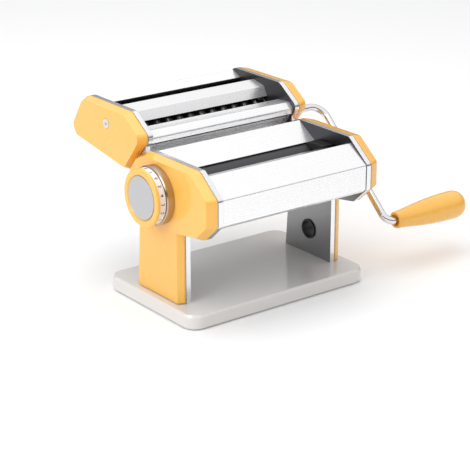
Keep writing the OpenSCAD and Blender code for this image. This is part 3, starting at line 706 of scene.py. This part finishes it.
@dataclass
class CutterUnit:
    """The removable cutter unit: frame, sheets, grooved rollers, combs and gears."""

    cover_edge: float = 1.6 * MM
    cover_steps: int = 4
    plate_edge: float = 0.35 * MM
    comb_edge: float = 0.1 * MM
    fold: float = 0.12 * MM
    middle: tuple[float, float] = (0.075, 0.148)

    def build(self) -> None:
        """Dresses every node of the cutter unit."""
        for side, inward in (("left", 1.0), ("right", -1.0)):
            dress(f"cutter_{side}_cover", YELLOW, self.cover_edge, self.cover_steps)
            plate = dress(f"cutter_{side}_plate", PLATE, self.plate_edge)
            # The cutter plates' inner faces get a painted shade.
            paint_faces(plate, CUTTER_FACE_SHADE, Vector((inward, 0, 0)))
        for name in ("nose", "roof", "rear", "lower"):
            # The sheets' inward faces get a painted shade.
            paint_inside(dress(f"cutter_{name}_sheet", CHROME, self.fold), INSIDE_PAINTED_SHADE, self.middle)
        for pair in ("wide", "narrow"):
            for side in ("front", "rear"):
                dress(f"{pair}_{side}_roller", CUTTER, 0.0)
                dress(f"{pair}_{side}_gear", STEEL, 0.0)
            dress(f"{pair}_combs", BLACK, self.comb_edge, 1)
        for node in ("cutter_tie_rods", "cutter_tie_rod_nuts", "cutter_cover_screws"):
            dress(node, STEEL)
        dress("cutter_bushes", NYLON)


@dataclass
class Crank:
    """The loose crank and its turning grip."""

    rod_edge: float = 0.3 * MM
    grip_edge: float = 0.5 * MM
    grip_steps: int = 3

    def build(self) -> None:
        """Dresses the rod, its pin, the retaining ring and the grip."""
        dress("crank_rod", ROD, self.rod_edge)
        dress("crank_drive_pin", STEEL)
        dress("grip_retainer", BLACK)
        dress("grip", YELLOW, self.grip_edge, self.grip_steps)


# ---------------------------------------------------------------------------
# Studio
# ---------------------------------------------------------------------------


@dataclass(frozen=True)
class SoftLight:
    """One square softbox aimed at a point."""

    name: str
    place: Place
    aim: Place
    side: float
    power: float

    def build(self) -> None:
        """Places the light."""
        lamp = bpy.data.lights.new(self.name, "AREA")
        lamp.shape = "SQUARE"
        lamp.size = self.side
        lamp.energy = self.power
        obj = bpy.data.objects.new(self.name, lamp)
        obj.location = self.place
        obj.rotation_euler = (Vector(self.aim) - Vector(self.place)).to_track_quat("-Z", "Y").to_euler()
        bpy.context.scene.collection.objects.link(obj)


@dataclass
class Studio:
    """Floor, lights, surroundings and camera."""

    floor_half: float = 8.0
    floor_grey: float = 0.9
    floor_roughness: float = 0.9
    floor_shine: float = 0.1
    ground_grey: float = 0.02
    blue_tint: float = 1.01
    horizon: tuple[tuple[float, float], ...] = ((0.12, 0.05), (0.28, 0.35), (0.42, 0.80), (0.62, 1.0))
    camera_place: Place = (-0.8623, -1.1305, 0.5768)
    camera_turn: Place = (69.67, 0.0, -37.23)
    lens: float = 122.84
    sensor: float = 36.0
    clip_range: tuple[float, float] = (0.05, 50.0)
    lights: tuple[SoftLight, ...] = (
        SoftLight("overhead", (-0.2, 0.1, 1.5), (0.0, 0.0, 0.08), 1.4, 9.0),
        SoftLight("left", (-1.5, -0.2, 0.9), (0.0, 0.0, 0.08), 0.9, 9.0),
    )

    def build(self) -> None:
        """Builds the studio round the object."""
        self._floor()
        self._surroundings()
        for light in self.lights:
            light.build()
        self._camera()

    def _floor(self) -> None:
        """A plain pale floor at the table's height."""
        mesh = bpy.data.meshes.new("floor")
        half = self.floor_half
        corners = [(-half, -half, 0), (half, -half, 0), (half, half, 0), (-half, half, 0)]
        mesh.from_pydata(corners, [], [(0, 1, 2, 3)])
        paper = bpy.data.materials.new("studio floor")
        paper.use_nodes = True
        shader = paper.node_tree.nodes["Principled BSDF"]
        shader.inputs["Base Color"].default_value = rgba((self.floor_grey,) * 3)
        shader.inputs["Roughness"].default_value = self.floor_roughness
        shader.inputs["Specular IOR Level"].default_value = self.floor_shine
        mesh.materials.append(paper)
        floor = bpy.data.objects.new("floor", mesh)
        bpy.context.scene.collection.objects.link(floor)

    def _surroundings(self) -> None:
        """White surroundings overhead that darken towards the horizon, which the chromed sheets mirror."""
        world = bpy.data.worlds.new("studio")
        world.use_nodes = True
        bpy.context.scene.world = world
        tree = world.node_tree
        shade = tree.nodes["Background"]
        place = tree.nodes.new("ShaderNodeTexCoord")
        split = tree.nodes.new("ShaderNodeSeparateXYZ")
        ramp = tree.nodes.new("ShaderNodeValToRGB")
        stops = ramp.color_ramp.elements
        stops[0].position = 0.0
        stops[0].color = rgba((self.ground_grey,) * 3)
        stops[1].position = 1.0
        stops[1].color = rgba((1.0, 1.0, 1.0))
        for rise, grey in self.horizon:
            stops.new(rise).color = rgba((grey, grey, grey * self.blue_tint))
        tree.links.new(place.outputs["Generated"], split.inputs[0])
        tree.links.new(split.outputs["Z"], ramp.inputs["Fac"])
        tree.links.new(ramp.outputs[0], shade.inputs["Color"])
        shade.inputs["Strength"].default_value = 1.0
        bpy.context.scene.view_settings.view_transform = "Standard"

    def _camera(self) -> None:
        """The camera at the object's usual three-quarter view."""
        lens = bpy.data.cameras.new("camera")
        lens.lens = self.lens
        lens.sensor_width = self.sensor
        lens.clip_start, lens.clip_end = self.clip_range
        obj = bpy.data.objects.new("camera", lens)
        obj.location = self.camera_place
        obj.rotation_euler = Euler([math.radians(a) for a in self.camera_turn])
        bpy.context.scene.collection.objects.link(obj)
        bpy.context.scene.camera = obj


def main() -> None:
    """Builds every sub-assembly, then the studio."""
    logging.basicConfig(level=logging.INFO, format="%(message)s")
    for part in (Base(), SideFrames(), Sheets(), SmoothRollers(), Regulator(), CutterUnit(), Crank()):
        part.build()
    Studio().build()


if __name__ == "__main__":
    main()
